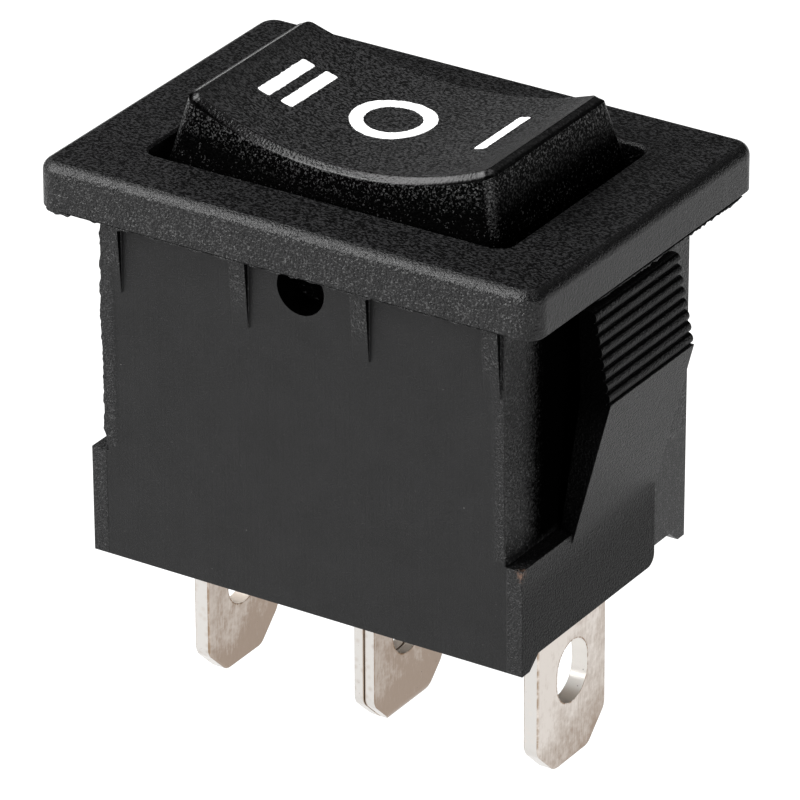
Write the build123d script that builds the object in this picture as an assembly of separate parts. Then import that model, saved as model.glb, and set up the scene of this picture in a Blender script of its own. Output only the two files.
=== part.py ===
from build123d import *
import os
from math import cos, radians, sin, tan

# Mini three-position rocker switch that snaps into a panel.
# X runs along the bezel, Y across it, and Z points out of the panel.
# The origin is the centre of the bezel's underside, where it seats on the panel.
# All sizes are in millimetres and all angles in degrees.

# Spare length by which cutting bodies pass the surfaces they cut
spare = 1.0

# Bezel
bezel_end_overhang = 2.01
bezel_width = 15.15
bezel_thickness = 1.87
bezel_corner = 0.75
bezel_top_round = 0.45
bezel_under_bevel = 0.1
opening_corner = 0.6
opening_edge_bevel = 0.1

# Body walls and floor
body_width = 12.7
body_depth = 14.05
wall_draft = 0.5
side_wall = 1.4
end_wall = 0.87
floor_lift = 0.5
floor_thickness = 1.2
body_corner = 0.06
rim_wall = 0.5
rim_slope = 0.6

# Lower end blocks, which stand out on one side of each end
block_reach = 0.7
shoulder_depth = 9.8
block_round = 0.45

# Snap arms and their grip teeth
arm_width = 5.75
arm_root_gap = 0.2
arm_foot_drop = 0.4
arm_peak_reach = 2.25
arm_peak_depth = 4.25
arm_peak_thickness = 1.25
arm_tip_reach = 1.41
arm_tip_depth = 0.8
arm_tip_thickness = 0.5
tooth_count = 8
tooth_height = 0.18
arm_pocket_depth = 0.3
arm_pocket_clearance = 0.12
arm_pocket_rim = 0.18

# Crush ribs under the bezel
rib_places = (2.55, 8.0)
rib_width = 0.68
rib_length = 3.15
rib_height = 0.3
rib_foot_height = 0.06

# Pivot of the rocker
pivot_depth = 1.08
pivot_hole_radius = 0.98
pivot_clearance = 0.06
pivot_pin_recess = 0.8
pivot_pin_chamfer = 0.25

# Rocker
rocker_side_gap = 0.31
rocker_end_gap = 0.53
rocker_top_length = 12.8
rocker_top_height = 4.22
rocker_dish = 1.35
rocker_slope = 12.5
rocker_slope_foot = 1.1
rocker_skirt_depth = 0.8
rocker_wall = 1.1
rocker_corner = 0.6
rocker_edge_bevel = 0.3
rocker_lug_radius = 1.7
rocker_web = 0.9
rocker_boss_radius = 2.1
rocker_boss_depth = 4.6
rocker_bore_radius = 1.5
rocker_bore_roof = 1.14
rocker_throw = 11.0

# Plunger and spring
plunger_clearance = 0.05
plunger_nose_radius = 0.55
plunger_stem_radius = 0.85
plunger_nose_length = 1.0
plunger_nose_clearance = 0.03
plunger_collar_depth = 5.2
plunger_collar_length = 2.6
plunger_spigot_radius = 0.75
plunger_spigot_length = 1.3
spring_wire_radius = 0.14
spring_clearance = 0.1
spring_turns = 4.5
spring_wire_sides = 6

# Contact lever, a see-saw strip with a shallow trough
lever_axis_depth = 7.4
lever_thickness = 0.4
lever_trough_radius = 0.6
lever_trough_slope = 16.0
lever_trough_half = 2.4
lever_half_length = 5.8
lever_width = 4.5
lever_waist = 3.4
lever_notch_half = 0.75
lever_end_round = 0.6
lever_ratio = 0.85
lever_seat_clearance = 0.03

# Contact rivets
contact_place = 4.7
contact_radius = 1.2
contact_height = 0.42
contact_dome = 0.2
contact_shank_radius = 0.65
contact_peen_radius = 0.9
contact_peen_height = 0.15
contact_fit = 0.01
contact_closed_clearance = 0.03

# Terminals
tab_width = 4.7
tab_thickness = 0.66
tab_end_gap = 0.13
tab_end_depth = 20.8
tab_hole_width = 2.1
tab_hole_height = 2.5
tab_hole_depth = 17.15
tab_tip_width = 2.3
tab_tip_height = 1.15
tab_tip_round = 0.6
tab_edge_bevel = 0.07
tab_bend_radius = 0.3
tab_pad_reach = 3.55
tab_slot_clearance = 0.03
fold_seam = 0.05
fold_thickness = 0.4
centre_shoulder_width = 6.0
centre_shoulder_height = 1.4
centre_ear_width = 0.55
centre_ear_gap = 0.08
centre_ear_height = 1.3
shelf_start = 3.3

# Plan sizes, from the button outwards: opening, walls, bezel
rocker_lean = (rocker_top_height - rocker_slope_foot) * tan(radians(rocker_slope))
rocker_foot_half = rocker_top_length / 2 + rocker_lean
cavity_length = 2 * (rocker_foot_half + rocker_end_gap)
cavity_width = body_width - 2 * side_wall
body_length = cavity_length + 2 * end_wall
bezel_length = body_length + 2 * bezel_end_overhang
end_face = body_length / 2
rocker_half_width = cavity_width / 2 - rocker_side_gap

# Heights and places that follow from the sizes above
floor_under = -(body_depth - floor_lift)
floor_top = floor_under + floor_thickness
arm_foot_depth = shoulder_depth + arm_foot_drop
pivot_z = -pivot_depth
pin_radius = pivot_hole_radius - pivot_clearance
rocker_roof = rocker_top_height - rocker_dish
lever_z = -lever_axis_depth
lever_arm_top = lever_z + (
    lever_trough_half * tan(radians(lever_trough_slope))
    - lever_trough_radius / cos(radians(lever_trough_slope))
)
lever_arm_under = lever_arm_top - lever_thickness
moving_face = lever_arm_under - contact_height
centre_blade_top = lever_z - lever_trough_radius - lever_thickness - lever_seat_clearance
tab_outer_x = cavity_length / 2 - tab_end_gap
tab_inner_x = tab_outer_x - tab_thickness
tab_pitch = tab_outer_x - tab_thickness / 2

# The fixed domes stand where the lever's flat contacts just reach them at full throw
closed_tilt = radians(rocker_throw * lever_ratio)
dome_radius = (contact_radius**2 + contact_dome**2) / (2 * contact_dome)
closed_reach = lever_z - moving_face + dome_radius + contact_closed_clearance
dome_centre_drop = (closed_reach + contact_place * sin(closed_tilt)) / cos(closed_tilt)
fixed_face = lever_z - dome_centre_drop + dome_radius
pad_top = fixed_face - contact_height
shelf_top = pad_top - tab_thickness


def block(x_range, y_range, z_range):
    size = [high - low for low, high in (x_range, y_range, z_range)]
    centre = [(high + low) / 2 for low, high in (x_range, y_range, z_range)]
    return Pos(*centre) * Box(*size)


def outline_face(points):
    return make_face(Polyline(*points, close=True))


def along_x(sketch, length):
    # A sketch of (y, z) points, carried along X both ways
    return extrude(Plane.YZ * sketch, length / 2, both=True)


def along_y(sketch, width):
    # A sketch of (x, z) points, carried along Y both ways
    return extrude(Plane.XZ * sketch, width / 2, both=True)


def upright(radius, z_low, z_high, x=0.0):
    return Pos(x, 0, (z_low + z_high) / 2) * Cylinder(radius, z_high - z_low)


def both_ends(solid):
    return solid + mirror(solid, Plane.YZ)


def wall_half_width(depth):
    return body_width / 2 - depth * tan(radians(wall_draft))


def bezel():
    plate = extrude(RectangleRounded(bezel_length, bezel_width, bezel_corner), bezel_thickness)
    plate = fillet(plate.edges().group_by(Axis.Z)[-1], bezel_top_round)
    return chamfer(plate.edges().group_by(Axis.Z)[0], bezel_under_bevel)


def body_section(top_z):
    foot = wall_half_width(body_depth)
    head = wall_half_width(-top_z)
    return outline_face([(-head, top_z), (head, top_z), (foot, -body_depth), (-foot, -body_depth)])


def floor_recess():
    # The long walls end in a rim below the floor, sloped on its inner side
    rim_inner = wall_half_width(body_depth) - rim_wall
    floor_inner = rim_inner - rim_slope
    below = -body_depth - spare
    points = [(-rim_inner, below), (-rim_inner, -body_depth), (-floor_inner, floor_under)]
    points += [(-y, z) for y, z in reversed(points)]
    return along_x(outline_face(points), body_length + 2 * (block_reach + spare))


def end_blocks():
    foot = wall_half_width(body_depth)
    reach = end_face + block_reach
    tall = along_x(body_section(-shoulder_depth), 2 * reach)
    kept = block((-reach, reach), (-foot - spare, arm_width / 2), (-body_depth, -shoulder_depth))
    blocks = (tall & kept) - floor_recess()
    far_edges = blocks.edges().filter_by(Axis.X).sort_by(Axis.Y)[-2:]
    return fillet(far_edges.sort_by(Axis.Z)[0], block_round)


def arm_sketch():
    # Outer face up to the peak, then the teeth up to the tip, and back down the inner face
    foot = (end_face + block_reach, -arm_foot_depth)
    peak = (end_face + arm_peak_reach, -arm_peak_depth)
    tip = (end_face + arm_tip_reach, -arm_tip_depth)
    groove = (peak[0] - tooth_height, peak[1])
    step_x = (tip[0] - groove[0]) / tooth_count
    step_z = (tip[1] - groove[1]) / tooth_count
    edges = [Line(foot, peak), Line(peak, groove)]
    for tooth in range(tooth_count):
        low = (groove[0] + tooth * step_x, groove[1] + tooth * step_z)
        crest = (low[0] + step_x / 2 + tooth_height, low[1] + step_z / 2)
        high = (low[0] + step_x, low[1] + step_z)
        edges.append(ThreePointArc(low, crest, high))
    back = [
        tip,
        (tip[0] - arm_tip_thickness, tip[1]),
        (peak[0] - arm_peak_thickness, peak[1]),
        (end_face + arm_root_gap, -shoulder_depth),
        (end_face + arm_root_gap, -arm_foot_depth),
        foot,
    ]
    return make_face(edges + [Polyline(*back)])


def snap_arms():
    return both_ends(along_y(arm_sketch(), arm_width))


def arm_pockets():
    # Shallow pockets in the bezel's underside leave the arm tips free to flex
    reach = bezel_length / 2 - arm_pocket_rim
    half = arm_width / 2 + arm_pocket_clearance
    return both_ends(block((end_face, reach), (-half, half), (0, arm_pocket_depth)))


def crush_ribs():
    root = wall_half_width(0)
    foot = wall_half_width(rib_length)
    inside = root - rib_height
    points = [(inside, 0), (root + rib_height, 0), (foot + rib_foot_height, -rib_length), (inside, -rib_length)]
    rib = along_x(outline_face(points), rib_width)
    ribs = [Pos(x * side, 0, 0) * rib for x in rib_places for side in (-1, 1)]
    return ribs + [mirror(rib, Plane.XZ) for rib in ribs]


def cavity():
    outline = RectangleRounded(cavity_length, cavity_width, opening_corner)
    return Pos(0, 0, floor_top) * extrude(outline, bezel_thickness - floor_top)


def shelves():
    # Ledges at both ends that carry the side terminals' bent tops
    half = cavity_width / 2 + side_wall / 2
    end = end_face - end_wall / 2
    ledge = block((shelf_start, end), (-half, half), (floor_top - floor_thickness / 2, shelf_top))
    relief = tab_bend_radius + tab_slot_clearance
    corner_x = tab_inner_x - tab_slot_clearance
    points = [(corner_x - relief, shelf_top), (corner_x, shelf_top), (corner_x, shelf_top - relief)]
    return both_ends(ledge - along_y(outline_face(points), tab_width + 2 * tab_slot_clearance))


def terminal_slots():
    half_y = tab_width / 2 + tab_slot_clearance
    side_x = (tab_inner_x - tab_slot_clearance, tab_outer_x + tab_slot_clearance)
    side_slot = block(side_x, (-half_y, half_y), (floor_under - spare, shelf_top + spare))
    half_x = fold_thickness + fold_seam / 2 + tab_slot_clearance
    return both_ends(side_slot) + block((-half_x, half_x), (-half_y, half_y), (floor_under - spare, floor_top + spare))


def pivot_holes():
    hole = Cylinder(pivot_hole_radius, body_width + 2 * spare, rotation=(90, 0, 0))
    return Pos(0, 0, pivot_z) * hole


def housing():
    walls = along_x(body_section(0), body_length)
    walls = fillet(walls.edges().filter_by(lambda edge: abs((edge % 0.5).Z) > 0.9), body_corner) - floor_recess()
    shell = bezel() - arm_pockets() + walls + end_blocks() + snap_arms()
    for rib in crush_ribs():
        shell += rib
    shell = shell - cavity() + shelves() - terminal_slots() - pivot_holes()
    top_edges = shell.edges().group_by(Axis.Z)[-1]
    inner = [edge for edge in top_edges if abs(edge.center().Y) <= cavity_width / 2 + 0.01]
    inner = [edge for edge in inner if abs(edge.center().X) <= cavity_length / 2 + 0.01]
    return chamfer(inner, opening_edge_bevel)


def rocker_profile(foot, z_low, z_high):
    # Upright skirt, then sides that slope inwards
    head = foot - (z_high - rocker_slope_foot) * tan(radians(rocker_slope))
    right = [(foot, z_low), (foot, rocker_slope_foot), (head, z_high)]
    return outline_face(right + [(-x, z) for x, z in reversed(right)])


def rocker_form(inset, z_low, z_high):
    # The same profile from the side and from the end, crossed
    long_half = rocker_foot_half - inset
    short_half = rocker_half_width - inset
    lengthways = along_y(rocker_profile(long_half, z_low, z_high), 2 * short_half)
    return lengthways & along_x(rocker_profile(short_half, z_low, z_high), 2 * long_half)


def dish_cutter(wall):
    # A roller lying across the button leaves the dish; wall moves its surface down
    half = rocker_top_length / 2
    roll = (half**2 + rocker_dish**2) / (2 * rocker_dish)
    axis_z = rocker_top_height - rocker_dish + roll
    return Pos(0, 0, axis_z) * Cylinder(roll + wall, cavity_width, rotation=(90, 0, 0))


def rocker_blank():
    blank = rocker_form(0, -rocker_skirt_depth, rocker_top_height + spare)
    corners = blank.edges().filter_by(lambda edge: abs((edge % 0.5).Z) > 0.9)
    blank = fillet(corners, rocker_corner) - dish_cutter(0)
    rim = blank.faces().filter_by(GeomType.CYLINDER).sort_by(SortBy.AREA)[-1]
    return chamfer(rim.edges(), rocker_edge_bevel)


def rocker_hollow():
    # The walls and roof keep one thickness under the dish
    top = rocker_top_height + spare
    low = -rocker_boss_depth - spare
    return rocker_form(rocker_wall, low, top) - dish_cutter(rocker_wall)


def rocker_lugs():
    # Round cheeks below the skirt that carry the pivot pins
    disc = Cylinder(rocker_lug_radius, 2 * rocker_half_width, rotation=(90, 0, 0))
    return Pos(0, 0, pivot_z) * split(disc, Plane.XY.offset(-pivot_z), Keep.BOTTOM)


def pivot_pins():
    reach = wall_half_width(pivot_depth) - pivot_pin_recess
    pins = Cylinder(pin_radius, 2 * reach, rotation=(90, 0, 0))
    pins = chamfer(pins.edges().filter_by(GeomType.CIRCLE), pivot_pin_chamfer)
    inner = rocker_half_width - rocker_wall
    middle = block((-pin_radius, pin_radius), (-inner, inner), (-pin_radius, pin_radius))
    return Pos(0, 0, pivot_z) * (pins - middle)


def rocker_inside():
    # A round boss for the spring and plunger, held to the side walls by a web
    boss = upright(rocker_boss_radius, -rocker_boss_depth, rocker_roof)
    half_y = rocker_half_width
    web = block((-rocker_web / 2, rocker_web / 2), (-half_y, half_y), (pivot_z, rocker_roof))
    return (boss + web) & rocker_hollow()


def rocker():
    bore = upright(rocker_bore_radius, -rocker_boss_depth - spare, rocker_roof - rocker_bore_roof)
    shell = rocker_blank() + rocker_lugs() - rocker_hollow()
    return shell + rocker_inside() + pivot_pins() - bore


def plunger():
    collar_radius = rocker_bore_radius - plunger_clearance
    nose_z = lever_z - lever_trough_radius + plunger_nose_clearance + plunger_nose_radius
    collar_low = -plunger_collar_depth
    collar_high = collar_low + plunger_collar_length
    stem_low = nose_z + plunger_nose_length
    right_side = [
        (plunger_nose_radius, nose_z),
        (plunger_stem_radius, stem_low),
        (plunger_stem_radius, collar_low),
        (collar_radius, collar_low),
        (collar_radius, collar_high),
        (plunger_spigot_radius, collar_high),
        (plunger_spigot_radius, collar_high + plunger_spigot_length),
        (0, collar_high + plunger_spigot_length),
        (0, nose_z - plunger_nose_radius),
    ]
    nose_mid = plunger_nose_radius * sin(radians(45))
    nose = ThreePointArc(right_side[-1], (nose_mid, nose_z - nose_mid), right_side[0])
    return revolve(Plane.XZ * make_face([nose, Polyline(*right_side)]), Axis.Z)


def spring():
    low = -plunger_collar_depth + plunger_collar_length + spring_wire_radius
    high = rocker_roof - rocker_bore_roof - spring_wire_radius
    coil_radius = rocker_bore_radius - spring_clearance - spring_wire_radius
    path = Pos(0, 0, low) * Helix((high - low) / spring_turns, high - low, coil_radius)
    # A six-sided wire keeps a coil this fine light to mesh
    wire = Plane(origin=path @ 0, z_dir=path % 0) * RegularPolygon(spring_wire_radius, spring_wire_sides)
    return sweep(wire, path)


def lever_sketch():
    slope = radians(lever_trough_slope)
    outer = lever_trough_radius + lever_thickness
    outer_half = ((lever_arm_under - lever_z) * cos(slope) + outer) / sin(slope)

    def trough(radius):
        return (radius * sin(slope), lever_z - radius * cos(slope))

    inner_x, inner_z = trough(lever_trough_radius)
    outer_x, outer_z = trough(outer)
    upper = ThreePointArc((-inner_x, inner_z), (0, lever_z - lever_trough_radius), (inner_x, inner_z))
    lower = ThreePointArc((-outer_x, outer_z), (0, lever_z - outer), (outer_x, outer_z))
    right = [
        (inner_x, inner_z),
        (lever_trough_half, lever_arm_top),
        (lever_half_length, lever_arm_top),
        (lever_half_length, lever_arm_under),
        (outer_half, lever_arm_under),
        (outer_x, outer_z),
    ]
    left = [(-x, z) for x, z in right]
    return make_face([upper, lower, Polyline(*right), Polyline(*left)])


def contact_lever():
    strip = along_y(lever_sketch(), lever_width)
    ends = strip.edges().filter_by(Axis.Z)
    strip = fillet(ends, lever_end_round)
    low = centre_blade_top - lever_thickness
    high = lever_arm_top + lever_thickness
    waist = block((-lever_notch_half, lever_notch_half), (lever_waist / 2, lever_width), (low, high))
    holes = both_ends(upright(contact_shank_radius + contact_fit, low, high, contact_place))
    return strip - waist - mirror(waist, Plane.XZ) - holes


def moving_contact():
    # A flat-faced rivet, headed over on the lever's upper side
    head = upright(contact_radius, moving_face, lever_arm_under, contact_place)
    shank = upright(contact_shank_radius, lever_arm_under, lever_arm_top, contact_place)
    peen = upright(contact_peen_radius, lever_arm_top, lever_arm_top + contact_peen_height, contact_place)
    return head + shank + peen


def fixed_contact():
    dome = Pos(contact_place, 0, fixed_face - dome_radius) * Sphere(dome_radius)
    head = upright(contact_radius, pad_top, fixed_face, contact_place) & dome
    return head + upright(contact_shank_radius, shelf_top, pad_top, contact_place)


def tipped_outline(upper_right):
    # A flat blade seen from its broad side, narrowed to a rounded tip at the foot
    end = -tab_end_depth
    tip_top = end + tab_tip_height
    right = [(tab_tip_width / 2, end), (tab_width / 2, tip_top)] + upper_right
    outline = outline_face(right + [(-y, z) for y, z in reversed(right)])
    tip_corners = outline.vertices().group_by(Axis.Y)[:2]
    return fillet([corner for level in tip_corners for corner in level], tab_tip_round)


def tab_hole():
    slot = Pos(0, -tab_hole_depth) * SlotOverall(tab_hole_height, tab_hole_width, rotation=90)
    return along_x(slot, body_length * 2)


def side_terminal():
    # The blade, then a bend that lays the top flat on its shelf for the contact
    blade = Pos(tab_pitch, 0, 0) * along_x(tipped_outline([(tab_width / 2, floor_top)]), tab_thickness)
    low_edges = blade.edges().filter_by(lambda edge: abs((edge % 0.5).X) < 0.5)
    low_edges = [edge for edge in low_edges if edge.center().Z < floor_top - 0.01]
    blade = chamfer(low_edges, tab_edge_bevel)
    points = [
        (tab_inner_x, floor_top),
        (tab_inner_x, shelf_top),
        (tab_pad_reach, shelf_top),
        (tab_pad_reach, pad_top),
        (tab_outer_x, pad_top),
        (tab_outer_x, floor_top),
    ]
    sheet = outline_face(points)
    inner_bend = sheet.vertices().sort_by_distance((tab_inner_x, shelf_top))[0]
    sheet = fillet(inner_bend, tab_bend_radius)
    outer_bend = sheet.vertices().sort_by_distance((tab_outer_x, pad_top))[0]
    sheet = fillet(outer_bend, tab_bend_radius + tab_thickness)
    rivet_hole = upright(contact_shank_radius + contact_fit, shelf_top - spare, pad_top + spare, contact_place)
    return blade + along_y(sheet, tab_width) - tab_hole() - rivet_hole


def centre_outline():
    # The tab, stop shoulders that rest on the floor, and two ears beside the lever's waist
    shoulder = centre_shoulder_width / 2
    shoulder_top = floor_top + centre_shoulder_height
    ear_in = lever_waist / 2 + centre_ear_gap
    ear_out = ear_in + centre_ear_width
    ear_top = centre_blade_top + centre_ear_height
    return tipped_outline([
        (tab_width / 2, floor_top),
        (shoulder, floor_top),
        (shoulder, shoulder_top),
        (ear_out, shoulder_top),
        (ear_out, ear_top),
        (ear_in, ear_top),
        (ear_in, centre_blade_top),
    ])


def centre_terminal():
    # One strip folded double at the tip; its open ends make the lever's seat between two ears
    outer = fold_thickness + fold_seam / 2
    fold_z = -tab_end_depth + outer
    tall = centre_blade_top + centre_ear_height - fold_z
    strip = Pos(0, fold_z + tall / 2) * Rectangle(2 * outer, tall) + Pos(0, fold_z) * Circle(outer)
    seam = Pos(0, fold_z + tall / 2) * Rectangle(fold_seam, tall) + Pos(0, fold_z) * Circle(fold_seam / 2)
    strip = along_y(strip - seam, centre_shoulder_width)
    return (strip & along_x(centre_outline(), 2 * outer)) - tab_hole()


def nodes():
    left = Plane.YZ
    return {
        "housing": housing(),
        "rocker": rocker(),
        "plunger": plunger(),
        "spring": spring(),
        "contact_lever": contact_lever(),
        "moving_contact_right": moving_contact(),
        "moving_contact_left": mirror(moving_contact(), left),
        "fixed_contact_right": fixed_contact(),
        "fixed_contact_left": mirror(fixed_contact(), left),
        "terminal_right": side_terminal(),
        "terminal_left": mirror(side_terminal(), left),
        "terminal_centre": centre_terminal(),
    }


os.makedirs("parts", exist_ok=True)
for name, solid in nodes().items():
    export_step(solid, f"parts/{name}.step")
    print(name, round(solid.volume, 2))
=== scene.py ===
import math

import bmesh
import bpy
from mathutils import Matrix, Vector
from mathutils.noise import noise


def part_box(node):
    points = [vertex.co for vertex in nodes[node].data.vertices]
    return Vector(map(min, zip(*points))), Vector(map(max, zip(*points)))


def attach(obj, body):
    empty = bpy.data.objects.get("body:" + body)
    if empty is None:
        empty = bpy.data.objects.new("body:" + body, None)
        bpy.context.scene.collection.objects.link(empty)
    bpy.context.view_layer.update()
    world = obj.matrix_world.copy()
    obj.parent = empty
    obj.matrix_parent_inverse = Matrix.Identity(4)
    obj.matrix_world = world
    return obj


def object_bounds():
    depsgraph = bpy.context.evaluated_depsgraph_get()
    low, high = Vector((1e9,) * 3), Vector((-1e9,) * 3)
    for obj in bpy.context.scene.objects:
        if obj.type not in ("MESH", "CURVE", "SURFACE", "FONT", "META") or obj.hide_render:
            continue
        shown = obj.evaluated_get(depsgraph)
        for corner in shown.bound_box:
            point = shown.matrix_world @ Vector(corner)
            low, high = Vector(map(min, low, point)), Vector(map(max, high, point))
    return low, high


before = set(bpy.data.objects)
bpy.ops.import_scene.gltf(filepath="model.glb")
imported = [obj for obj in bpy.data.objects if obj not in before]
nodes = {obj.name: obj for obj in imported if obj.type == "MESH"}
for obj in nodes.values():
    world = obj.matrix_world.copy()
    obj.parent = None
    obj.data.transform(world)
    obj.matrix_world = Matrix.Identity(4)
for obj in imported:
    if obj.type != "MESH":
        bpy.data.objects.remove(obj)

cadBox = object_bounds()
mm = 0.001


# wraps one output socket of a shader node, so it can be used like a number
class Tone:
    def __init__(self, tree, socket=None):
        self.tree = tree
        self.socket = socket

    def add(self, kind, settings=None, inputs=None, output=0):
        node = self.tree.nodes.new(kind)
        for name, value in (settings or {}).items():
            setattr(node, name, value)
        for name, value in (inputs or {}).items():
            if isinstance(value, Tone):
                self.tree.links.new(value.socket, node.inputs[name])
            else:
                node.inputs[name].default_value = value
        return Tone(self.tree, node.outputs[output] if node.outputs else None)

    def math(self, operation, first, second=0.0):
        return self.add("ShaderNodeMath", {"operation": operation}, {0: first, 1: second})

    def __add__(self, other):
        return self.math("ADD", self, other)

    def __sub__(self, other):
        return self.math("SUBTRACT", self, other)

    def __rsub__(self, other):
        return self.math("SUBTRACT", other, self)

    def __mul__(self, other):
        return self.math("MULTIPLY", self, other)

    def __truediv__(self, other):
        return self.math("DIVIDE", self, other)

    def __abs__(self):
        return self.math("ABSOLUTE", self)

    __radd__ = __add__
    __rmul__ = __mul__

    def root(self):
        return self.math("SQRT", self)

    def fraction(self):
        return self.math("FRACT", self)

    def least(self, other):
        return self.math("MINIMUM", self, other)

    def most(self, other):
        return self.math("MAXIMUM", self, other)

    def fade(self, low, high):
        # 0 below low and 1 above high, or the other way round when low is the larger
        values = {"Value": self, "From Min": low, "From Max": high}
        return self.add("ShaderNodeMapRange", {"interpolation_type": "SMOOTHSTEP"}, values)

    def blend(self, first, second):
        # a colour between two, with this as the share of the second
        values = {0: self, 6: first, 7: second}
        return self.add("ShaderNodeMix", {"data_type": "RGBA"}, values, 2)

    def part(self, axis):
        return self.add("ShaderNodeSeparateXYZ", None, {0: self}, "XYZ".index(axis))

    def vector(self, operation, other, output=0):
        values = {0: self, 1: other}
        return self.add("ShaderNodeVectorMath", {"operation": operation}, values, output)

    def stretch(self, x, y, z):
        return self.vector("MULTIPLY", (x, y, z))

    def distance(self, point):
        return self.vector("DISTANCE", point, "Value")

    def grain(self, scale, detail=2.0, roughness=0.5, offset=0.0):
        moved = self.vector("ADD", (offset, offset, offset))
        values = {"Vector": moved, "Scale": scale, "Detail": detail, "Roughness": roughness}
        return self.add("ShaderNodeTexNoise", None, values, "Fac")

    def cells(self, scale, output="Distance"):
        return self.add("ShaderNodeTexVoronoi", None, {"Vector": self, "Scale": scale}, output)

    def specks(self, scale, size, share):
        # small round dots, in only a share of the cells
        dot = self.cells(scale).fade(size * scale, 0.5 * size * scale)
        pick = self.cells(scale, "Color").part("X").fade(1 - share, 1 - 0.9 * share)
        return dot * pick


def colour(red, green, blue):
    return (red, green, blue, 1.0)


def newMaterial(name):
    material = bpy.data.materials.new(name)
    material.use_nodes = True
    material.node_tree.nodes.clear()
    start = Tone(material.node_tree)
    # places are in millimetres, in the switch's own frame
    place = start.add("ShaderNodeTexCoord", None, None, "Object").stretch(1 / mm, 1 / mm, 1 / mm)
    return material, start, place


def facingOf(start):
    # the way a surface faces, in the switch's own frame
    return start.add("ShaderNodeTexCoord", None, None, "Normal")


# painted shade: what the places painted dark on the black plastics turn into
paintedShadeBlack = {
    "Base Color": colour(0.0004, 0.0004, 0.0004),
    "Roughness": 0.9,
    "Specular IOR Level": 0.0,
}
bevelSamples = 6


def finishMaterial(start, fixed, varying, height=None, depth=0.0, edgeRound=0.0, shade=None):
    # height runs from 0 to 1 over a depth in millimetres; a shade of 1 paints a place dead black
    shader = dict(fixed)
    shader.update(varying)
    normal = None
    if edgeRound:
        normal = start.add(
            "ShaderNodeBevel", {"samples": bevelSamples}, {"Radius": edgeRound * mm}
        )
    if height is not None:
        values = {"Height": height, "Distance": depth * mm, "Strength": 1.0}
        if normal is not None:
            values["Normal"] = normal
        normal = start.add("ShaderNodeBump", None, values)
    if normal is not None:
        shader["Normal"] = normal
    surface = start.add("ShaderNodeBsdfPrincipled", None, shader)
    if shade is not None:
        dark = start.add("ShaderNodeBsdfPrincipled", None, paintedShadeBlack)
        surface = start.add("ShaderNodeMixShader", None, {0: shade, 1: surface, 2: dark})
    start.add("ShaderNodeOutputMaterial", None, {"Surface": surface})


def dress(material, *names):
    for name in names:
        mesh = nodes[name].data
        mesh.materials.clear()
        mesh.materials.append(material)


def addPiece(name, data, material):
    data.materials.append(material)
    piece = bpy.data.objects.new(name, data)
    bpy.context.collection.objects.link(piece)
    return piece


# housing: bezel with spark texture, satin walls, stippled ribs and end blocks
# a pair says where something starts to show and where it shows in full;
# lengths are in millimetres, and how far a face looks up or to an end runs from 0 to 1
housingFinish = {
    "ink": colour(0.0008, 0.0008, 0.0009),
    "grey": colour(0.0055, 0.0055, 0.0058),
    "topGrey": colour(0.034, 0.034, 0.035),
    "paintedGlintColour": colour(0.10, 0.10, 0.10),
    "dust": colour(0.17, 0.165, 0.16),
    "worn": colour(0.085, 0.05, 0.035),
    "shine": 0.23,
    "refraction": 1.5,
    "roughness": 0.35,
    "textureDepth": 0.08,
    "edgeRound": 0.06,
    "craterScale": 8.0,
    "gritScale": 11.0,
    "grainScale": 10.0,
    "fineScale": 24.0,
    "cloudScale": 0.7,
    "paintedGlintScale": 13.0,
    "streakStretch": (9.0, 9.0, 0.25),
    "bezelFoot": (-0.03, 0.03),
    "bezelTop": (0.93, 0.995),
    "bezelRim": (0.25, 0.5),
    "bezelEnd": (0.80, 0.97),
    "wallEnd": 8.49,
    "wallLayer": 0.25,
    "ribFace": (6.42, 6.5),
    "ribFlank": (6.36, 6.42),
    "ribFoot": (-3.3, -3.1),
    "blockTop": (-9.8, -9.4),
    "blockFace": (-9.4, -11.4),
    "wornFromCorner": (1.5, 1.3),
    "wornHeight": -9.95,
    "wornReach": (0.42, 0.12),
    "pocketAcross": (5.2, 3.9),
    "pocketTop": (0.0, -0.3),
    "pocketFoot": (-9.9, -9.5),
    "teeth": 8,
    "teethTop": -0.8,
    "teethFoot": -4.25,
    "teethValley": (0.27, 0.40),
    "armFlank": (2.95, 2.9),
    "armTop": (-0.4, -0.6),
    "armMiddle": (-6.5, -4.0),
    "armFoot": (-10.4, -9.9),
    "pivotDepth": 1.08,
    "boreRadius": 0.98,
}


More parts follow.
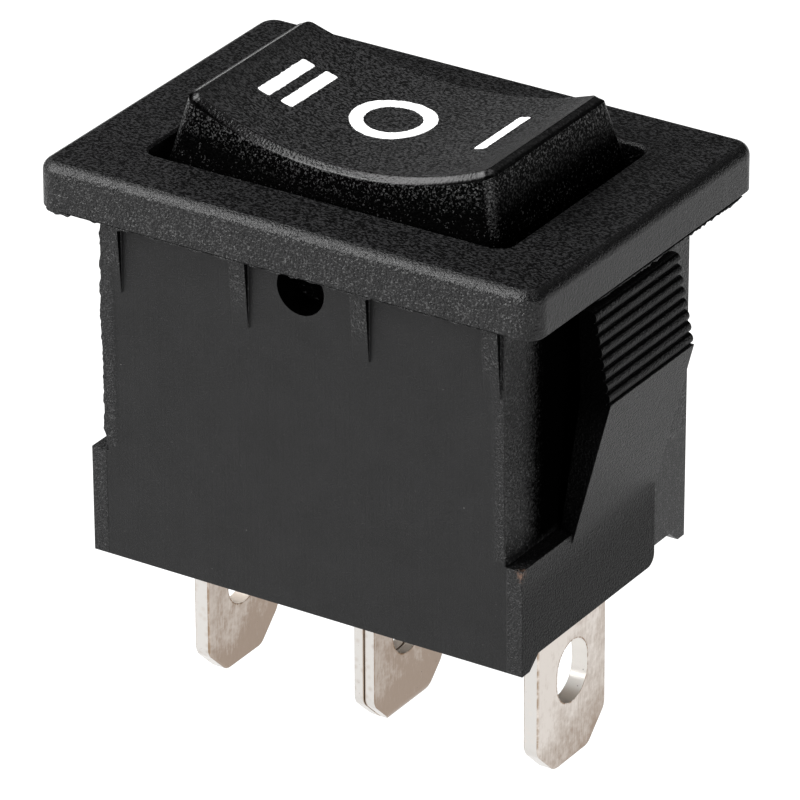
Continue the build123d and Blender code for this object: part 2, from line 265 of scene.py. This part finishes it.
def makeHousingPlastic():
    look = housingFinish
    material, start, place = newMaterial("blackNylon")
    facing = facingOf(start)
    x, y, z = abs(place.part("X")), abs(place.part("Y")), place.part("Z")
    up, endward = facing.part("Z"), abs(facing.part("X"))
    wallEnd = look["wallEnd"]

    # where the bezel, its top, its rim and its ends are
    onBezel = z.fade(*look["bezelFoot"])
    offBezel = 1 - onBezel
    topFace = up.fade(*look["bezelTop"])
    rim = up.fade(*look["bezelRim"]) * (1 - topFace)
    endFace = endward.fade(*look["bezelEnd"])
    # its long sides are coarse, its ends and its top are finer, and the rim is smoother
    coarse = onBezel * (1 - topFace) * (1 - 0.7 * rim) * (1 - 0.85 * endFace)

    craters = place.cells(look["craterScale"]).fade(0.05, 0.7)
    grit = place.grain(look["gritScale"], roughness=0.6)
    fine = place.grain(look["fineScale"], roughness=0.6, offset=3.0)
    grain = place.stretch(0.8, 1.25, 1.0).grain(look["grainScale"], roughness=0.6, offset=4.0)
    streaks = place.stretch(*look["streakStretch"]).grain(1.0)
    clouds = place.grain(look["cloudScale"], 3.0, 0.6, 8.0)
    coarseHeight = 0.35 * craters + 0.8 * grit
    topHeight = 0.25 * fine + 0.30 * grit
    bodyHeight = 0.30 * fine + 0.10 * streaks + 0.06 * place.grain(5.0, offset=9.0)

    # stipple on the snap arms, the ribs and the end blocks
    ends = x.fade(wallEnd + 0.03, wallEnd + 0.1)
    ribs = y.fade(*look["ribFace"]) * z.fade(*look["ribFoot"])
    corners = x.fade(wallEnd - 0.6, wallEnd - 0.25) * z.fade(*look["blockTop"])
    stipple = offBezel * ends.most(ribs).most(corners)
    body = offBezel * (1 - stipple)
    height = coarse * coarseHeight + onBezel * (1 - coarse) * topHeight
    height = height + body * bodyHeight + stipple * 1.1 * grit

    # colour: near black, with painted glints as light specks where the plastic is coarse and on the
    # end walls, dust and one worn spot
    layer = look["wallLayer"]
    endWall = endward.fade(0.85, 0.97) * x.fade(wallEnd + layer, wallEnd + 0.1)
    paintedGlintShare = coarse + 0.65 * stipple + 0.5 * ribs * offBezel + 0.05 * body
    paintedGlintShare = paintedGlintShare + 1.5 * endWall * offBezel
    paintedGlint = place.grain(look["paintedGlintScale"], offset=6.0).fade(0.56, 0.72) * paintedGlintShare
    dust = place.specks(1.3, 0.026, 0.3) + 0.5 * place.specks(2.7, 0.020, 0.3)
    low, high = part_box("housing")
    fromEnd, fromSide = look["wornFromCorner"]
    shoulder = (high.x / mm - fromEnd, low.y / mm + fromSide, look["wornHeight"])
    worn = place.distance(shoulder).fade(*look["wornReach"])
    worn = worn * place.grain(9.0, roughness=0.6, offset=5.0).fade(0.42, 0.6)
    base = (0.7 * fine + 0.3 * clouds).fade(0.32, 0.68).blend(look["ink"], look["grey"])
    # partly grain, partly painted light: the bezel's top is painted a lighter grey in its grain
    # than the sides
    base = (topFace * onBezel * grain.fade(0.40, 0.64)).blend(base, look["topGrey"])
    base = (paintedGlint.least(1.0) * 0.5).blend(base, look["paintedGlintColour"])
    base = (dust.least(1.0) * 0.7).blend(base, look["dust"])
    base = worn.blend(base, look["worn"])
    roughness = look["roughness"] + 0.12 * (fine - 0.5) + 0.06 * (streaks - 0.5)
    roughness = roughness + 0.05 * body - 0.12 * rim

    # painted shade, alike on both sides and at both ends: the gap behind each arm
    recess = endWall * (y + 1.8 * (grit - 0.5)).fade(*look["pocketAcross"])
    recess = recess * z.fade(*look["pocketTop"]) * z.fade(*look["pocketFoot"])
    # painted shade in the valleys of the grip teeth
    teethTop, teethFoot = look["teethTop"], look["teethFoot"]
    phase = ((teethTop - z) * (look["teeth"] / (teethTop - teethFoot))).fraction()
    onTeeth = z.fade(teethFoot - 0.02, teethFoot + 0.02) * ends * endward.fade(0.3, 0.5)
    onTeeth = onTeeth * z.fade(teethTop + 0.02, teethTop - 0.02)
    valley = abs(phase - 0.5).fade(*look["teethValley"]) * onTeeth
    # painted shade on the flanks of the ribs and inside the pivot holes
    ribFlank = endward.fade(0.9, 0.98) * y.fade(*look["ribFlank"])
    ribFlank = ribFlank * x.fade(wallEnd, wallEnd - 0.1) * offBezel
    along, below = place.part("X"), z + look["pivotDepth"]
    reach = look["boreRadius"] ** 2
    bore = (along * along + below * below).fade(reach + 0.06, reach) * offBezel
    # painted shade on the flanks of the arms
    armFlank = ends * abs(facing.part("Y")).fade(0.8, 0.95) * y.fade(*look["armFlank"])
    armFlank = armFlank * z.fade(*look["armTop"]) * z.fade(*look["armFoot"])
    armFlank = armFlank * (0.84 + 0.13 * z.fade(*look["armMiddle"]))
    # painted shade on the ends of the body, more so on the end blocks, and on the bezel's top in
    # its grain
    paintedEndShade = ends * endward.fade(0.5, 0.9) * (0.28 + 0.22 * z.fade(*look["blockFace"])) * offBezel
    darkShare = topFace * onBezel * (0.42 + 0.26 * grain.fade(0.58, 0.42))
    shade = recess.most(0.9 * valley).most(0.9 * ribFlank).most(bore)
    shade = shade.most(armFlank).most(paintedEndShade).most(darkShare)

    fixed = {"IOR": look["refraction"], "Specular IOR Level": look["shine"]}
    varying = {"Base Color": base, "Roughness": roughness}
    finishMaterial(start, fixed, varying, height, look["textureDepth"], look["edgeRound"], shade)
    return material


# rocker: finely grained top, coarse sides, mostly darkened by painted shade
# the dished top is part of a cylinder, whose axis lies dishAxis above the panel
rockerFinish = {
    "ink": colour(0.0008, 0.0008, 0.0009),
    "grey": colour(0.052, 0.052, 0.053),
    "paintedGlintColour": colour(0.11, 0.11, 0.11),
    "dust": colour(0.13, 0.128, 0.125),
    "shine": 0.30,
    "refraction": 1.5,
    "roughness": 0.34,
    "textureDepth": 0.06,
    "edgeRound": 0.13,
    "craterScale": 8.5,
    "gritScale": 14.0,
    "grainScale": 10.0,
    "fineScale": 22.0,
    "paintedGlintScale": 11.0,
    "top": (0.86, 0.97),
    "rim": (0.4, 0.6),
    "dishRadius": 15.846,
    "dishAxis": 18.716,
    "paintedGlintDepth": (2.5, 0.15),
    "rimLine": (0.15, 0.24),
    "sideFoot": (3.2, 2.0),
    "cornerFoot": (1.4, 2.6),
    "pinFace": (5.7, 5.8),
}


def makeRockerPlastic():
    look = rockerFinish
    material, start, place = newMaterial("blackNylonButton")
    facing = facingOf(start)
    x, z = place.part("X"), place.part("Z")
    up, lengthwise = facing.part("Z"), abs(facing.part("X"))
    topFace = up.fade(*look["top"])
    rim = up.fade(*look["rim"]) * (1 - topFace)
    side = 1 - topFace
    endward = lengthwise.fade(0.5, 0.75)

    craters = place.cells(look["craterScale"]).fade(0.05, 0.7)
    grit = place.grain(look["gritScale"], roughness=0.6, offset=2.0)
    fine = place.grain(look["fineScale"], roughness=0.6, offset=7.0)
    grain = place.stretch(0.8, 1.25, 1.0).grain(look["grainScale"], roughness=0.6, offset=1.0)
    sideHeight = (0.40 * craters + 0.8 * grit) * (1 - 0.8 * rim)
    topHeight = 0.35 * fine + 0.35 * grain
    height = topFace * topHeight + side * sideHeight

    # painted glints: light specks on the sides, fewer further below the dished top
    under = look["dishAxis"] - (look["dishRadius"] ** 2 - x * x).root() - z
    lively = under.fade(*look["paintedGlintDepth"]) * (0.55 + 0.40 * endward)
    sparse = place.grain(10.0, roughness=0.6, offset=23.0).fade(0.58, 0.68) * 0.5
    paintedGlint = place.grain(look["paintedGlintScale"], roughness=0.6, offset=11.0).fade(0.50, 0.64)
    paintedGlint = (paintedGlint * lively).most(sparse) * side * (1 - rim)
    dust = place.specks(1.7, 0.02, 0.2)
    # partly grain, partly painted light: the top is painted a lighter grey in its grain than the
    # sides
    grey = 0.6 * topFace * grain.fade(0.40, 0.64)
    base = grey.least(1.0).blend(look["ink"], look["grey"])
    base = paintedGlint.blend(base, look["paintedGlintColour"])
    base = (dust * 0.7).blend(base, look["dust"])
    roughness = look["roughness"] + 0.12 * (fine - 0.5) + 0.05 * topFace - 0.16 * rim

    # painted shade, alike on both sides and at both ends: the sides below a narrow line at the rim
    ragged = under + 0.10 * (grit - 0.5)
    belowRim = side * ragged.fade(*look["rimLine"])
    shade = (0.98 - 0.27 * endward) * belowRim
    shade = shade + 0.35 * side * z.fade(*look["sideFoot"]) * (1 - rim)
    # less painted shade down the four upright corners, and in the painted glints
    upright = (lengthwise * abs(facing.part("Y"))).fade(0.28, 0.44) * grit.fade(0.40, 0.52)
    shade = shade * (1 - 0.85 * upright * z.fade(*look["cornerFoot"]))
    # painted shade on the top as well, in its grain
    shade = shade.most(topFace * (0.45 * grain.fade(0.60, 0.40)))
    shade = (shade * (1 - 0.85 * paintedGlint)).least(0.99)
    # painted shade also above the line, on the rims of the ends and on the pivot pins
    aboveRim = ragged.fade(0.05, 0.0) * rim * 0.6
    pin = abs(place.part("Y")).fade(*look["pinFace"])
    shade = shade.most(aboveRim).most(0.6 * endward * rim).most(pin)

    fixed = {"IOR": look["refraction"], "Specular IOR Level": look["shine"]}
    varying = {"Base Color": base, "Roughness": roughness}
    finishMaterial(start, fixed, varying, height, look["textureDepth"], look["edgeRound"], shade)
    return material


# terminals: tin-plated brass, brighter on the sheared edges
# of the three tabs the right one is the brightest and the centre one the dullest
terminalFinish = {
    "edge": colour(0.58, 0.56, 0.535),
    "face": colour(0.62, 0.57, 0.525),
    "faceDull": colour(0.29, 0.222, 0.172),
    "brownBrassAndShade": colour(0.20, 0.115, 0.05),
    "pit": colour(0.10, 0.07, 0.05),
    "holeWall": colour(0.72, 0.69, 0.65),
    "roughness": 0.33,
    "textureDepth": 0.006,
    "edgeRound": 0.045,
    "rollingStretch": (14.0, 14.0, 1.6),
    "scratchStretch": (30.0, 30.0, 2.2),
    "tarnish": 0.38,
    "rightTab": (3.0, 7.0),
    "rightBrighter": 0.55,
    "centreTab": (2.0, 0.5),
    "centreDuller": 0.22,
    "acrossDuller": 0.175,
    "towardsTip": 0.042,
    "holeDepth": 17.15,
    "holeRadius": 1.05,
    "holeStraight": 0.2,
    "halfWidth": 2.35,
    "cornerLine": (0.10, 0.02),
    "seamLine": (0.09, 0.03),
    "tipStart": -19.65,
}


def makeTinnedBrass():
    look = terminalFinish
    material, start, place = newMaterial("tinnedBrass")
    facing = facingOf(start)
    x, y, z = place.part("X"), place.part("Y"), place.part("Z")
    edgeFace = abs(facing.part("X")).fade(0.75, 0.35)
    face = 1 - edgeFace

    # distance from the edge of the upright round-ended hole
    aside = (abs(z + look["holeDepth"]) - look["holeStraight"]).most(0.0)
    fromHole = (y * y + aside * aside).root() - look["holeRadius"]
    holeRim = fromHole.fade(0.08, 0.01) * place.grain(6.0, 3.0, 0.6).fade(0.35, 0.6) * face
    inHole = fromHole.fade(0.03, 0.0) * edgeFace
    # painted shade: the foot of the hole's wall is painted brown
    holeFootShade = inHole * facing.part("Z").fade(0.75, 0.98)
    # a thin brown line along the corners of the faces, and a darker tip
    corner = (look["halfWidth"] - abs(y)).fade(*look["cornerLine"]) * face
    corner = corner * place.grain(3.0, 3.0, 0.6, 2.0).fade(0.30, 0.6)
    tip = z.fade(look["tipStart"] + 0.9, look["tipStart"] - 1.0) * face
    seam = abs(x).fade(*look["seamLine"]) * edgeFace  # between the centre tab's two layers

    clouds = place.grain(0.9, 4.0, 0.6)
    mottle = place.grain(4.5, 3.0, 0.65, 4.0)
    rolling = place.stretch(*look["rollingStretch"]).grain(1.0, 3.0, 0.6)
    scratches = place.stretch(*look["scratchStretch"]).grain(1.0, 2.0, 0.7, 5.0).fade(0.62, 0.75)
    pits = place.specks(2.3, 0.035, 0.3) + 0.7 * place.specks(5.0, 0.02, 0.25)
    marks = place.cells(3.2).fade(0.0, 0.5)

    # patchy tarnish; apart from it the colour runs darker towards one edge and the tip, and differs
    # from tab to tab
    bright = x.fade(*look["rightTab"]) * look["rightBrighter"]
    bright = bright - abs(x).fade(*look["centreTab"]) * look["centreDuller"]
    slope = y * (look["acrossDuller"] / look["halfWidth"])
    slope = slope - (z - look["tipStart"]) * look["towardsTip"]
    darkShare = (0.8 * clouds + 0.45 * mottle + 0.45 * rolling + slope).fade(0.45, 1.25)
    darkShare = (darkShare + 0.35 * tip + look["tarnish"] - bright).most(0.0).least(1.0)
    base = darkShare.blend(look["face"], look["faceDull"])
    base = (edgeFace * (0.55 + 0.45 * marks)).blend(base, look["edge"])
    # painted light: the hole's wall is painted pale and mostly non-metallic, so it stays bright
    # from every side
    base = inHole.blend(base, look["holeWall"])
    base = (scratches * 0.25).blend(base, look["edge"])
    base = (pits.least(1.0) * 0.6).blend(base, look["pit"])
    # brass brown at the hole's rim and the seam, painted shade at the hole's foot, and the line
    # along the face corners
    brown = holeRim.most(corner * 0.75).most(holeFootShade * 0.5).most(seam * 0.8)
    base = brown.blend(base, look["brownBrassAndShade"])

    roughness = look["roughness"] + 0.16 * (mottle - 0.5) + 0.14 * (rolling - 0.5)
    roughness = roughness + 0.2 * holeRim
    height = 0.5 * rolling + 0.35 * mottle - 0.8 * pits
    varying = {"Base Color": base, "Roughness": roughness, "Metallic": 1 - 0.8 * inHole}
    finishMaterial(start, {}, varying, height, look["textureDepth"], look["edgeRound"])
    return material


# pieces inside the housing
innerFinish = {
    "silver": {
        "bright": colour(0.80, 0.79, 0.76),
        "dark": colour(0.45, 0.43, 0.40),
        "roughness": 0.32,
        "brushing": (5.0, 5.0, 5.0),
    },
    "wire": {
        "bright": colour(0.42, 0.42, 0.44),
        "dark": colour(0.45, 0.43, 0.40),
        "roughness": 0.3,
        "brushing": (2.0, 2.0, 30.0),
    },
    "acetal": {
        "bright": colour(0.74, 0.72, 0.66),
        "dark": colour(0.62, 0.60, 0.54),
        "roughness": 0.38,
        "refraction": 1.48,
    },
    "textureDepth": 0.003,
    "metalEdgeRound": 0.03,
    "acetalEdgeRound": 0.04,
}


def makeInnerMetal(name, look):
    material, start, place = newMaterial(name)
    mottle = place.grain(6.0, 3.0, 0.6)
    brushed = place.stretch(*look["brushing"]).grain(1.0, 3.0, 0.6)
    base = (0.6 * mottle + 0.4 * brushed).fade(0.3, 0.8).blend(look["bright"], look["dark"])
    varying = {"Base Color": base, "Roughness": look["roughness"] + 0.15 * (brushed - 0.5)}
    depth, edgeRound = innerFinish["textureDepth"], innerFinish["metalEdgeRound"]
    finishMaterial(start, {"Metallic": 1.0}, varying, brushed, depth, edgeRound)
    return material


def makeAcetal(name, look):
    material, start, place = newMaterial(name)
    cloud = place.grain(1.5, 3.0)
    fine = place.grain(12.0)
    base = cloud.fade(0.3, 0.8).blend(look["bright"], look["dark"])
    varying = {"Base Color": base, "Roughness": look["roughness"] + 0.1 * (fine - 0.5)}
    depth, edgeRound = innerFinish["textureDepth"], innerFinish["acetalEdgeRound"]
    finishMaterial(start, {"IOR": look["refraction"]}, varying, fine, depth, edgeRound)
    return material


housingPlastic = makeHousingPlastic()
dress(housingPlastic, "housing")
dress(makeRockerPlastic(), "rocker")
dress(makeTinnedBrass(), "terminal_right", "terminal_left", "terminal_centre", "contact_lever")
silver = makeInnerMetal("contactSilver", innerFinish["silver"])
dress(silver, "moving_contact_right", "moving_contact_left")
dress(silver, "fixed_contact_right", "fixed_contact_left")
dress(makeInnerMetal("springWire", innerFinish["wire"]), "spring")
dress(makeAcetal("paleAcetal", innerFinish["acetal"]), "plunger")
print("materials are on")


# printed marks on the rocker: II, O and I in white ink, in the order that they are printed
# a bar has its place, length and width; the ring its place, inner and outer radius
markSizes = {
    "bars": {
        "markTwoBarA": {"place": (-4.69, 0.0), "length": 3.04, "width": 0.51, "seed": 1.0},
        "markTwoBarB": {"place": (-3.74, 0.05), "length": 3.04, "width": 0.51, "seed": 2.0},
        "markOneBar": {"place": (4.24, 0.34), "length": 3.1, "width": 0.48, "seed": 4.0},
    },
    "ring": {"place": (-0.28, 0.24), "inner": 1.07, "outer": 1.60, "seed": 6.0},
    "ink": colour(0.90, 0.90, 0.90),
    "inkThin": colour(0.80, 0.80, 0.80),
    "inkSpeck": colour(0.25, 0.25, 0.25),
    "inkRoughness": 0.55,
    "inkGrainDepth": 0.006,
    "inkThickness": 0.012,
    "inkSunk": 0.02,
    "probeHeight": 20.0,
    "edgeWander": 0.035,
    "barCornerRound": 0.07,
    "barSteps": 60,
    "ringSteps": 128,
    "stepsAcross": 8,
}


def makeInk():
    look = markSizes
    material, start, place = newMaterial("whiteInk")
    fine = place.grain(13.0, roughness=0.6, offset=7.0)
    thin = place.grain(4.0, 3.0, 0.6, 1.0)
    base = thin.fade(0.25, 0.75).blend(look["ink"], look["inkThin"])
    base = place.specks(2.6, 0.03, 0.22).blend(base, look["inkSpeck"])
    varying = {"Base Color": base, "Roughness": look["inkRoughness"] + 0.1 * (fine - 0.5)}
    finishMaterial(start, {}, varying, fine, look["inkGrainDepth"])
    return material


def rockerTop(x, y):
    # the height of the rocker's top at a place, looked for from well above it
    above = Vector((x, y, markSizes["probeHeight"] * mm))
    hit = nodes["rocker"].ray_cast(above, Vector((0, 0, -1)))
    return hit[1].z


def printMark(name, rows, closed, material):
    # rows of (x, y) in millimetres, laid on the dished top as a thin skin with a short wall around
    lift = markSizes["inkThickness"] * mm
    mesh = bmesh.new()
    grid = []
    for row in rows:
        places = [(x * mm, y * mm) for x, y in row]
        grid.append([mesh.verts.new((x, y, rockerTop(x, y) + lift)) for x, y in places])
    count = len(grid)
    for i in range(count if closed else count - 1):
        a, b = grid[i], grid[(i + 1) % count]
        for j in range(len(a) - 1):
            mesh.faces.new((a[j], a[j + 1], b[j + 1], b[j]))
    border = [edge for edge in mesh.edges if edge.is_boundary]
    walls = bmesh.ops.extrude_edge_only(mesh, edges=border)
    for vert in walls["geom"]:
        if isinstance(vert, bmesh.types.BMVert):
            vert.co.z -= lift + markSizes["inkSunk"] * mm
    bmesh.ops.recalc_face_normals(mesh, faces=mesh.faces)
    data = bpy.data.meshes.new(name)
    mesh.to_mesh(data)
    mesh.free()
    piece = addPiece(name, data, material)
    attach(piece, "rocker")


def wander(x, y, seed):
    # ink edges follow the grain of the plastic a little
    fine = noise(Vector((x * 6.0, y * 6.0, seed)))
    coarse = noise(Vector((x * 2.0, y * 2.0, seed + 5.0)))
    return markSizes["edgeWander"] * (0.7 * fine + 0.6 * coarse)


def barRows(place, length, width, seed):
    # across the rocker in small steps, with slightly rounded ends
    rows = []
    steps, across = markSizes["barSteps"], markSizes["stepsAcross"]
    curve = markSizes["barCornerRound"]
    for i in range(steps + 1):
        y = -length / 2 + length * i / steps
        inset = max(0.0, curve - (length / 2 - abs(y)))
        half = width / 2 - (curve - math.sqrt(max(curve**2 - inset**2, 0.0)))
        left = place[0] - half + wander(place[0] - half, y, seed)
        right = place[0] + half + wander(place[0] + half, y, seed)
        shift = place[1] + (wander(place[0], y, seed + 9.0) if i in (0, steps) else 0.0)
        rows.append([(left + (right - left) * j / across, y + shift) for j in range(across + 1)])
    return rows


def ringRows(place, inner, outer, seed):
    rows = []
    steps, across = markSizes["ringSteps"], markSizes["stepsAcross"]
    for i in range(steps):
        angle = 2 * math.pi * i / steps
        dx, dy = math.cos(angle), math.sin(angle)
        near = inner + wander(place[0] + inner * dx, inner * dy, seed)
        far = outer + wander(place[0] + outer * dx, outer * dy, seed)
        radii = [near + (far - near) * j / across for j in range(across + 1)]
        rows.append([(place[0] + r * dx, place[1] + r * dy) for r in radii])
    return rows


ink = makeInk()
for name, bar in markSizes["bars"].items():
    printMark(name, barRows(**bar), False, ink)
printMark("markRing", ringRows(**markSizes["ring"]), True, ink)
print("marks are printed")


# torn flash along the lower edge of the bezel and down one upright edge of the body
# each run, in millimetres: its start and end, the way it sticks out, the way its thickness goes in,
# how far it always reaches, and how much further its lumps do; it tapers off over one part in
# endTaper of its length at each end
flashSizes = {
    "thickness": 0.05,
    "step": 0.06,
    "endTaper": 12,
    "runs": {
        "flashNearLeft": {
            "start": (-10.15, -7.44, 0.03), "end": (-9.0, -7.56, 0.03),
            "out": (0, 0, -1), "inward": (0, 1, 0), "always": 0.08, "lumpy": 0.13,
        },
        "flashEndRight": {
            "start": (10.49, -3.4, 0.03), "end": (10.49, 6.6, 0.03),
            "out": (0, 0, -1), "inward": (-1, 0, 0), "always": 0.02, "lumpy": 0.14,
        },
        "flashNearEdge": {
            "start": (-9.05, -7.55, 0.05), "end": (9.3, -7.55, 0.05),
            "out": (0, 0, -1), "inward": (0, 1, 0), "always": 0.0, "lumpy": 0.11,
        },
        "flashBodyLeft": {
            "start": (-8.45, -6.33, -0.1), "end": (-8.45, -6.26, -9.75),
            "out": (-1, 0, 0), "inward": (0, 1, 0), "always": 0.15, "lumpy": 0.11,
        },
    },
}


def makeFlash(name, run, material):
    start, end, out = Vector(run["start"]), Vector(run["end"]), Vector(run["out"])
    thick = Vector(run["inward"]) * flashSizes["thickness"]
    taper = flashSizes["endTaper"]
    mesh = bmesh.new()
    count = int((end - start).length / flashSizes["step"])
    rows = []
    for i in range(count + 1):
        t = i / count
        root = start.lerp(end, t)
        lumps = noise(root * 2.3) + 0.5 * noise(root * 6.0)
        reach = run["always"] + run["lumpy"] * max(0.0, 0.25 + lumps)
        front = root + out * (reach * min(1.0, taper * t, taper * (1 - t)))
        places = [root, front, front + thick, root + 2 * thick]
        rows.append([mesh.verts.new(place * mm) for place in places])
    for first, second in zip(rows, rows[1:]):
        for j in range(4):
            mesh.faces.new((first[j], first[(j + 1) % 4], second[(j + 1) % 4], second[j]))
    mesh.faces.new(rows[0][::-1])
    mesh.faces.new(rows[-1])
    bmesh.ops.recalc_face_normals(mesh, faces=mesh.faces)
    data = bpy.data.meshes.new(name)
    mesh.to_mesh(data)
    mesh.free()
    piece = addPiece(name, data, material)
    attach(piece, "housing")


for name, run in flashSizes["runs"].items():
    makeFlash(name, run, housingPlastic)
print("flash is on")


# floor, lights and camera; lengths in metres, powers in watts
stageSetup = {
    "tableSize": 3.0,
    "tableGap": 0.00002,
    "tableColour": colour(0.05, 0.05, 0.05),
    "tableCloud": colour(0.045, 0.045, 0.045),
    "tableFar": colour(0.01, 0.01, 0.01),
    "tableGlow": 1.15,
    "tableRoughness": 0.9,
    "brightReach": (0.13, 0.21),
    "skyGlow": 0.12,
}


def makeTable():
    # its own colour is nearly black; its white is its glow, which ends some way out
    look = stageSetup
    material, start, place = newMaterial("paleTable")
    cloud = place.grain(0.004)
    near, far = look["brightReach"]
    bright = place.distance((0, 0, 0)).fade(far / mm, near / mm)
    pale = cloud.fade(0.2, 0.8).blend(look["tableColour"], look["tableCloud"])
    base = bright.blend(look["tableFar"], pale)
    glow = bright.blend(colour(0, 0, 0), colour(1, 1, 1))
    fixed = {"Roughness": look["tableRoughness"], "Emission Strength": look["tableGlow"]}
    finishMaterial(start, fixed, {"Base Color": base, "Emission Color": glow})
    half = look["tableSize"] / 2
    z = cadBox[0][2] - look["tableGap"]
    corners = [(-half, -half, z), (half, -half, z), (half, half, z), (-half, half, z)]
    data = bpy.data.meshes.new("table")
    data.from_pydata(corners, [], [(0, 1, 2, 3)])
    table = addPiece("table", data, material)


# each softbox: direction from the switch, distance, size, power
softboxes = {
    "leftFront": {"from": (-0.50, -0.60, 0.50), "away": 0.40, "size": (0.24, 0.28), "power": 3.4},
    "leftSide": {"from": (-0.60, -0.12, 0.80), "away": 0.40, "size": (0.18, 0.22), "power": 1.0},
    "leftBack": {"from": (-0.66, 0.75, 0.05), "away": 0.50, "size": (0.40, 0.08), "power": 0.05},
    "rightFront": {"from": (0.80, -0.50, 0.12), "away": 0.40, "size": (0.15, 0.15), "power": 0.9},
    "overhead": {"from": (0.1, 0.1, 1.0), "away": 0.5, "size": (0.25, 0.25), "power": 0.5},
}


def makeSoftbox(name, look):
    light = bpy.data.lights.new(name, "AREA")
    light.shape = "RECTANGLE"
    light.size, light.size_y = look["size"]
    light.energy = look["power"]
    lamp = bpy.data.objects.new(name, light)
    direction = Vector(look["from"]).normalized()
    middle = (Vector(cadBox[0]) + Vector(cadBox[1])) / 2
    lamp.location = middle + direction * look["away"]
    lamp.rotation_euler = direction.to_track_quat("Z", "Y").to_euler()
    bpy.context.collection.objects.link(lamp)


def makeSky():
    world = bpy.data.worlds.new("studio")
    world.use_nodes = True
    sky = world.node_tree.nodes["Background"].inputs
    sky["Color"].default_value = colour(1, 1, 1)
    sky["Strength"].default_value = stageSetup["skyGlow"]
    bpy.context.scene.world = world


# azimuth from -Y towards +X, elevation above the XY plane, in degrees
# distance, right, up, lens and sensor in millimetres; the nearest and furthest view in metres
cameraSetup = {
    "azimuth": 32.631,
    "elevation": 26.890,
    "roll": -0.221,
    "distance": 286.694,
    "right": 0.111,
    "up": -7.269,
    "lens": 360.0,
    "sensor": 36.0,
    "nearest": 0.01,
    "furthest": 20.0,
}


def makeCamera():
    look = cameraSetup
    azimuth = math.radians(look["azimuth"])
    elevation = math.radians(look["elevation"])
    roll = math.radians(look["roll"])
    away = Vector((
        math.sin(azimuth) * math.cos(elevation),
        -math.cos(azimuth) * math.cos(elevation),
        math.sin(elevation),
    ))
    level = Vector((math.cos(azimuth), math.sin(azimuth), 0.0))
    upright = away.cross(level)
    right = math.cos(roll) * level + math.sin(roll) * upright
    up = math.cos(roll) * upright - math.sin(roll) * level
    camera = bpy.data.objects.new("camera", bpy.data.cameras.new("camera"))
    camera.data.lens = look["lens"]
    camera.data.sensor_width = look["sensor"]
    camera.data.clip_start = look["nearest"]
    camera.data.clip_end = look["furthest"]
    turn = Matrix((right, up, away)).transposed().to_4x4()
    spot = right * look["right"] * mm + up * look["up"] * mm + away * look["distance"] * mm
    camera.matrix_world = Matrix.Translation(spot) @ turn
    bpy.context.collection.objects.link(camera)
    bpy.context.scene.camera = camera


makeTable()
makeSky()
for name, look in softboxes.items():
    makeSoftbox(name, look)
makeCamera()
bpy.context.scene.view_settings.view_transform = "Standard"
print("stage is set")
